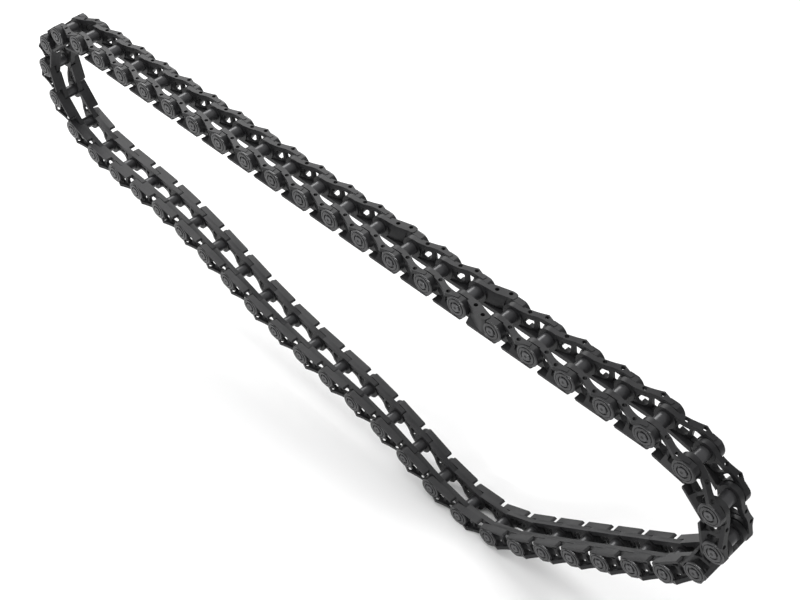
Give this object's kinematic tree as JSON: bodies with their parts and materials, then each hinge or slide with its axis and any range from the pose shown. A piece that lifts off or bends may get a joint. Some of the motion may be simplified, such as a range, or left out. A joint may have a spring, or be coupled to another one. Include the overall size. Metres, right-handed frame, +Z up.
{
  "type": "crawler track chain",
  "caption": "Closed crawler track chain of offset links with bushings, pins and seals, in the shape it takes round its idlers and raised sprocket.",
  "frame": {"origin": "under the middle of the loop's box, on the surface that its lowest corner stands on", "axes": "+X along the flat run, +Y across the chain to its far side, +Z up, out of the flat run towards its shoes"},
  "size_m": [4.7908, 0.214, 1.5641],
  "materials": {
    "link_steel": "satin",
    "joint_steel": "satin",
    "seal_rubber": "satin"
  },
  "bodies": {
    "section_00": {"section_00": "link_steel"},
    "section_01": {"section_01": "link_steel"},
    "section_02": {"section_02": "link_steel"},
    "section_03": {"section_03": "link_steel"},
    "section_04": {"section_04": "link_steel"},
    "section_05": {"section_05": "link_steel"},
    "section_06": {"section_06": "link_steel"},
    "section_07": {"section_07": "link_steel"},
    "section_08": {"section_08": "link_steel"},
    "section_09": {"section_09": "link_steel"},
    "section_10": {"section_10": "link_steel"},
    "section_11": {"odd_link_far": "link_steel", "section_11": "link_steel"},
    "section_12": {"section_12": "link_steel"},
    "section_13": {"section_13": "link_steel"},
    "section_14": {"master_link_bushing": "joint_steel", "master_link_far": "link_steel", "master_link_near": "link_steel", "master_seals": "seal_rubber"},
    "section_15": {"master_bushing": "joint_steel", "section_15": "link_steel"},
    "section_16": {"section_16": "link_steel"},
    "section_17": {"section_17": "link_steel"},
    "section_18": {"section_18": "link_steel"},
    "section_19": {"section_19": "link_steel"},
    "section_20": {"section_20": "link_steel"},
    "section_21": {"section_21": "link_steel"},
    "section_22": {"section_22": "link_steel"},
    "section_23": {"section_23": "link_steel"},
    "section_24": {"section_24": "link_steel"},
    "section_25": {"section_25": "link_steel"},
    "section_26": {"section_26": "link_steel"},
    "section_27": {"section_27": "link_steel"},
    "section_28": {"section_28": "link_steel"},
    "section_29": {"section_29": "link_steel"},
    "section_30": {"section_30": "link_steel"},
    "section_31": {"section_31": "link_steel"},
    "section_32": {"section_32": "link_steel"},
    "section_33": {"section_33": "link_steel"},
    "section_34": {"section_34": "link_steel"},
    "section_35": {"section_35": "link_steel"},
    "section_36": {"section_36": "link_steel"},
    "section_37": {"section_37": "link_steel"},
    "section_38": {"section_38": "link_steel"},
    "section_39": {"section_39": "link_steel"},
    "section_40": {"section_40": "link_steel"},
    "section_41": {"section_41": "link_steel"},
    "section_42": {"section_42": "link_steel"},
    "section_43": {"section_43": "link_steel"},
    "section_44": {"section_44": "link_steel"},
    "section_45": {"section_45": "link_steel"},
    "section_46": {"section_46": "link_steel"},
    "section_47": {"section_47": "link_steel"},
    "section_48": {"section_48": "link_steel"},
    "section_49": {"section_49": "link_steel"},
    "section_50": {"section_50": "link_steel"},
    "section_51": {"section_51": "link_steel"},
    "master_pin": {"master_pin": "joint_steel", "master_pin_plugs": "seal_rubber"}
  },
  "joints": [
    {"name": "pivot_41", "type": "hinge", "parent": "section_40", "child": "section_41", "pos_m": [-0.99701, 0, 0.56631], "axis": [0, 1, 0], "range_deg": [-4.68, 39.32]},
    {"name": "pivot_42", "type": "hinge", "parent": "section_41", "child": "section_42", "pos_m": [-1.1929, 0, 0.61954], "axis": [0, 1, 0], "range_deg": [-3.28, 40.72]},
    {"name": "pivot_43", "type": "hinge", "parent": "section_42", "child": "section_43", "pos_m": [-1.39252, 0, 0.65646], "axis": [0, 1, 0], "range_deg": [-2.87, 41.13]},
    {"name": "pivot_44", "type": "hinge", "parent": "section_43", "child": "section_44", "pos_m": [-1.59463, 0, 0.67539], "axis": [0, 1, 0], "range_deg": [-6.49, 37.51]},
    {"name": "pivot_45", "type": "hinge", "parent": "section_44", "child": "section_45", "pos_m": [-1.79718, 0, 0.689], "axis": [0, 1, 0], "range_deg": [-11.72, 32.28]},
    {"name": "pivot_46", "type": "hinge", "parent": "section_45", "child": "section_46", "pos_m": [-1.99841, 0, 0.71571], "axis": [0, 1, 0], "range_deg": [-22.78, 21.22]},
    {"name": "pivot_47", "type": "hinge", "parent": "section_46", "child": "section_47", "pos_m": [-2.18618, 0, 0.79287], "axis": [0, 1, 0], "range_deg": [-37.65, 6.35]},
    {"name": "pivot_48", "type": "hinge", "parent": "section_47", "child": "section_48", "pos_m": [-2.31118, 0, 0.95282], "axis": [0, 1, 0], "range_deg": [-37.32, 6.68]},
    {"name": "pivot_49", "type": "hinge", "parent": "section_48", "child": "section_49", "pos_m": [-2.34185, 0, 1.15349], "axis": [0, 1, 0], "range_deg": [-37.66, 6.34]},
    {"name": "pivot_50", "type": "hinge", "parent": "section_49", "child": "section_50", "pos_m": [-2.26921, 0, 1.34305], "axis": [0, 1, 0], "range_deg": [-37.18, 6.82]},
    {"name": "pivot_51", "type": "hinge", "parent": "section_50", "child": "section_51", "pos_m": [-2.11338, 0, 1.47315], "axis": [0, 1, 0], "range_deg": [-37.41, 6.59]},
    {"name": "pivot_00", "type": "hinge", "parent": "section_51", "child": "section_00", "pos_m": [-1.91375, 0, 1.50998], "axis": [0, 1, 0], "range_deg": [-18.45, 25.55]},
    {"name": "sag_pivot_01", "type": "hinge", "parent": "section_00", "child": "section_01", "pos_m": [-1.71075, 0, 1.50998], "axis": [0, 1, 0], "range_deg": [-3.2, 3.2]},
    {"name": "pivot_02", "type": "hinge", "parent": "section_01", "child": "section_02", "pos_m": [-1.50775, 0, 1.50998], "axis": [0, 1, 0], "range_deg": [-8, 36]},
    {"name": "pivot_03", "type": "hinge", "parent": "section_02", "child": "section_03", "pos_m": [-1.30475, 0, 1.50998], "axis": [0, 1, 0], "range_deg": [-8, 36]},
    {"name": "pivot_04", "type": "hinge", "parent": "section_03", "child": "section_04", "pos_m": [-1.10175, 0, 1.50998], "axis": [0, 1, 0], "range_deg": [-8, 36]},
    {"name": "pivot_05", "type": "hinge", "parent": "section_04", "child": "section_05", "pos_m": [-0.89875, 0, 1.50998], "axis": [0, 1, 0], "range_deg": [-8, 36]},
    {"name": "pivot_06", "type": "hinge", "parent": "section_05", "child": "section_06", "pos_m": [-0.69575, 0, 1.50998], "axis": [0, 1, 0], "range_deg": [-8, 36]},
    {"name": "pivot_07", "type": "hinge", "parent": "section_06", "child": "section_07", "pos_m": [-0.49275, 0, 1.50998], "axis": [0, 1, 0], "range_deg": [-8, 36]},
    {"name": "pivot_08", "type": "hinge", "parent": "section_07", "child": "section_08", "pos_m": [-0.28975, 0, 1.50998], "axis": [0, 1, 0], "range_deg": [-8, 36]},
    {"name": "pivot_09", "type": "hinge", "parent": "section_08", "child": "section_09", "pos_m": [-0.08675, 0, 1.50998], "axis": [0, 1, 0], "range_deg": [-8, 36]},
    {"name": "pivot_10", "type": "hinge", "parent": "section_09", "child": "section_10", "pos_m": [0.11625, 0, 1.50998], "axis": [0, 1, 0], "range_deg": [-8, 36]},
    {"name": "pivot_11", "type": "hinge", "parent": "section_10", "child": "section_11", "pos_m": [0.31925, 0, 1.50998], "axis": [0, 1, 0], "range_deg": [-8, 36]},
    {"name": "pivot_12", "type": "hinge", "parent": "section_11", "child": "section_12", "pos_m": [0.52225, 0, 1.50998], "axis": [0, 1, 0], "range_deg": [-8, 36]},
    {"name": "pivot_13", "type": "hinge", "parent": "section_12", "child": "section_13", "pos_m": [0.72525, 0, 1.50998], "axis": [0, 1, 0], "range_deg": [-8, 36]},
    {"name": "pivot_14", "type": "hinge", "parent": "section_13", "child": "section_14", "pos_m": [0.92825, 0, 1.50998], "axis": [0, 1, 0], "range_deg": [-8, 36]},
    {"name": "pivot_40", "type": "hinge", "parent": "section_40", "child": "section_39", "pos_m": [-0.80452, 0, 0.50184], "axis": [0, -1, 0], "range_deg": [-8.3, 35.7]},
    {"name": "pivot_39", "type": "hinge", "parent": "section_39", "child": "section_38", "pos_m": [-0.61169, 0, 0.43838], "axis": [0, -1, 0], "range_deg": [-11.47, 32.53]},
    {"name": "pivot_38", "type": "hinge", "parent": "section_38", "child": "section_37", "pos_m": [-0.41538, 0, 0.3867], "axis": [0, -1, 0], "range_deg": [-11.87, 32.13]},
    {"name": "pivot_37", "type": "hinge", "parent": "section_37", "child": "section_36", "pos_m": [-0.21603, 0, 0.34838], "axis": [0, -1, 0], "range_deg": [-10.91, 33.09]},
    {"name": "pivot_36", "type": "hinge", "parent": "section_36", "child": "section_35", "pos_m": [-0.01499, 0, 0.32025], "axis": [0, -1, 0], "range_deg": [-7.8, 36.2]},
    {"name": "pivot_35", "type": "hinge", "parent": "section_35", "child": "section_34", "pos_m": [0.18596, 0, 0.29142], "axis": [0, -1, 0], "range_deg": [-1.92, 42.08]},
    {"name": "pivot_34", "type": "hinge", "parent": "section_34", "child": "section_33", "pos_m": [0.38271, 0, 0.24146], "axis": [0, -1, 0], "range_deg": [-2.32, 41.68]},
    {"name": "pivot_33", "type": "hinge", "parent": "section_33", "child": "section_32", "pos_m": [0.57356, 0, 0.17228], "axis": [0, -1, 0], "range_deg": [-5.99, 38.01]},
    {"name": "pivot_32", "type": "hinge", "parent": "section_32", "child": "section_31", "pos_m": [0.76186, 0, 0.09644], "axis": [0, -1, 0], "range_deg": [-17.45, 26.55]},
    {"name": "pivot_31", "type": "hinge", "parent": "section_31", "child": "section_30", "pos_m": [0.96006, 0, 0.05255], "axis": [0, -1, 0], "range_deg": [-25.89, 18.11]},
    {"name": "pivot_30", "type": "hinge", "parent": "section_30", "child": "section_29", "pos_m": [1.16216, 0, 0.07165], "axis": [0, -1, 0], "range_deg": [-29.78, 14.22]},
    {"name": "pivot_29", "type": "hinge", "parent": "section_29", "child": "section_28", "pos_m": [1.34274, 0, 0.16439], "axis": [0, -1, 0], "range_deg": [-18.03, 25.97]},
    {"name": "pivot_28", "type": "hinge", "parent": "section_28", "child": "section_27", "pos_m": [1.50441, 0, 0.28716], "axis": [0, -1, 0], "range_deg": [-8.3, 35.7]},
    {"name": "pivot_27", "type": "hinge", "parent": "section_27", "child": "section_26", "pos_m": [1.66543, 0, 0.41077], "axis": [0, -1, 0], "range_deg": [-8.3, 35.7]},
    {"name": "flex_pivot_26", "type": "hinge", "parent": "section_26", "child": "section_25", "pos_m": [1.8258, 0, 0.53523], "axis": [0, -1, 0], "range_deg": [-6, 6]},
    {"name": "pivot_25", "type": "hinge", "parent": "section_25", "child": "section_24", "pos_m": [1.98552, 0, 0.66052], "axis": [0, -1, 0], "range_deg": [-8.3, 35.7]},
    {"name": "pivot_24", "type": "hinge", "parent": "section_24", "child": "section_23", "pos_m": [2.14458, 0, 0.78665], "axis": [0, -1, 0], "range_deg": [-17.02, 26.98]},
    {"name": "pivot_23", "type": "hinge", "parent": "section_23", "child": "section_22", "pos_m": [2.28191, 0, 0.93616], "axis": [0, -1, 0], "range_deg": [-33.91, 10.09]},
    {"name": "pivot_22", "type": "hinge", "parent": "section_22", "child": "section_21", "pos_m": [2.34011, 0, 1.13063], "axis": [0, -1, 0], "range_deg": [-39.33, 4.67]},
    {"name": "pivot_21", "type": "hinge", "parent": "section_21", "child": "section_20", "pos_m": [2.28871, 0, 1.32702], "axis": [0, -1, 0], "range_deg": [-39.76, 4.24]},
    {"name": "pivot_20", "type": "hinge", "parent": "section_20", "child": "section_19", "pos_m": [2.14163, 0, 1.46694], "axis": [0, -1, 0], "range_deg": [-39.33, 4.67]},
    {"name": "advance_pivot_19", "type": "hinge", "parent": "section_19", "child": "section_18", "pos_m": [1.94325, 0, 1.50998], "axis": [0, -1, 0], "range_deg": [0, 19.1]},
    {"name": "pivot_18", "type": "hinge", "parent": "section_18", "child": "section_17", "pos_m": [1.74025, 0, 1.50998], "axis": [0, -1, 0], "range_deg": [-8, 36]},
    {"name": "pivot_17", "type": "hinge", "parent": "section_17", "child": "section_16", "pos_m": [1.53725, 0, 1.50998], "axis": [0, -1, 0], "range_deg": [-8, 36]},
    {"name": "pivot_16", "type": "hinge", "parent": "section_16", "child": "section_15", "pos_m": [1.33425, 0, 1.50998], "axis": [0, -1, 0], "range_deg": [-8, 36]},
    {"name": "master_pin_draw", "type": "slide", "parent": "section_14", "child": "master_pin", "axis": [0, -1, 0], "range_m": [0, 0.21]}
  ],
  "couplings": [
    {"joint": "pivot_00", "follows": "advance_pivot_19", "ratio": -0.54739},
    {"joint": "pivot_02", "follows": "sag_pivot_01", "ratio": -0.13333},
    {"joint": "pivot_03", "follows": "sag_pivot_01", "ratio": -0.13333},
    {"joint": "pivot_04", "follows": "sag_pivot_01", "ratio": -0.13333},
    {"joint": "pivot_05", "follows": "sag_pivot_01", "ratio": -0.13333},
    {"joint": "pivot_06", "follows": "sag_pivot_01", "ratio": -0.13333},
    {"joint": "pivot_07", "follows": "sag_pivot_01", "ratio": -0.13333},
    {"joint": "pivot_08", "follows": "sag_pivot_01", "ratio": -0.13333},
    {"joint": "pivot_09", "follows": "sag_pivot_01", "ratio": -0.13333},
    {"joint": "pivot_10", "follows": "sag_pivot_01", "ratio": -0.13333},
    {"joint": "pivot_11", "follows": "sag_pivot_01", "ratio": -0.13333},
    {"joint": "pivot_12", "follows": "sag_pivot_01", "ratio": -0.13333},
    {"joint": "pivot_13", "follows": "sag_pivot_01", "ratio": -0.13333},
    {"joint": "pivot_14", "follows": "sag_pivot_01", "ratio": -0.13333},
    {"joint": "pivot_16", "follows": "sag_pivot_01", "ratio": -0.13333},
    {"joint": "pivot_17", "follows": "sag_pivot_01", "ratio": 1},
    {"joint": "pivot_18", "follows": "advance_pivot_19", "ratio": 0.64093},
    {"joint": "pivot_20", "follows": "advance_pivot_19", "ratio": 0.022246},
    {"joint": "pivot_21", "follows": "advance_pivot_19", "ratio": -0.022527},
    {"joint": "pivot_22", "follows": "advance_pivot_19", "ratio": -0.28391},
    {"joint": "pivot_23", "follows": "advance_pivot_19", "ratio": -0.88454},
    {"joint": "pivot_24", "follows": "advance_pivot_19", "ratio": -0.45645},
    {"joint": "pivot_25", "follows": "flex_pivot_26", "ratio": -0.5},
    {"joint": "pivot_27", "follows": "flex_pivot_26", "ratio": -0.5},
    {"joint": "pivot_28", "follows": "advance_pivot_19", "ratio": 0.50938},
    {"joint": "pivot_29", "follows": "advance_pivot_19", "ratio": 0.61567},
    {"joint": "pivot_30", "follows": "advance_pivot_19", "ratio": -0.2041},
    {"joint": "pivot_31", "follows": "advance_pivot_19", "ratio": -0.44186},
    {"joint": "pivot_32", "follows": "advance_pivot_19", "ratio": -0.60014},
    {"joint": "pivot_33", "follows": "advance_pivot_19", "ratio": -0.19214},
    {"joint": "pivot_34", "follows": "advance_pivot_19", "ratio": -0.02102},
    {"joint": "pivot_35", "follows": "advance_pivot_19", "ratio": 0.30793},
    {"joint": "pivot_36", "follows": "advance_pivot_19", "ratio": 0.16317},
    {"joint": "pivot_37", "follows": "advance_pivot_19", "ratio": 0.05002},
    {"joint": "pivot_38", "follows": "advance_pivot_19", "ratio": -0.021043},
    {"joint": "pivot_39", "follows": "advance_pivot_19", "ratio": -0.16583},
    {"joint": "pivot_40", "follows": "advance_pivot_19", "ratio": -0.18952},
    {"joint": "pivot_41", "follows": "advance_pivot_19", "ratio": -0.073682},
    {"joint": "pivot_42", "follows": "advance_pivot_19", "ratio": -0.021022},
    {"joint": "pivot_43", "follows": "advance_pivot_19", "ratio": 0.18948},
    {"joint": "pivot_44", "follows": "advance_pivot_19", "ratio": 0.27367},
    {"joint": "pivot_45", "follows": "advance_pivot_19", "ratio": 0.57909},
    {"joint": "pivot_46", "follows": "advance_pivot_19", "ratio": 0.77905},
    {"joint": "pivot_47", "follows": "advance_pivot_19", "ratio": -0.017519},
    {"joint": "pivot_48", "follows": "advance_pivot_19", "ratio": 0.017659},
    {"joint": "pivot_49", "follows": "advance_pivot_19", "ratio": -0.025052},
    {"joint": "pivot_50", "follows": "advance_pivot_19", "ratio": 0.011908},
    {"joint": "pivot_51", "follows": "advance_pivot_19", "ratio": -0.99248}
  ]
}
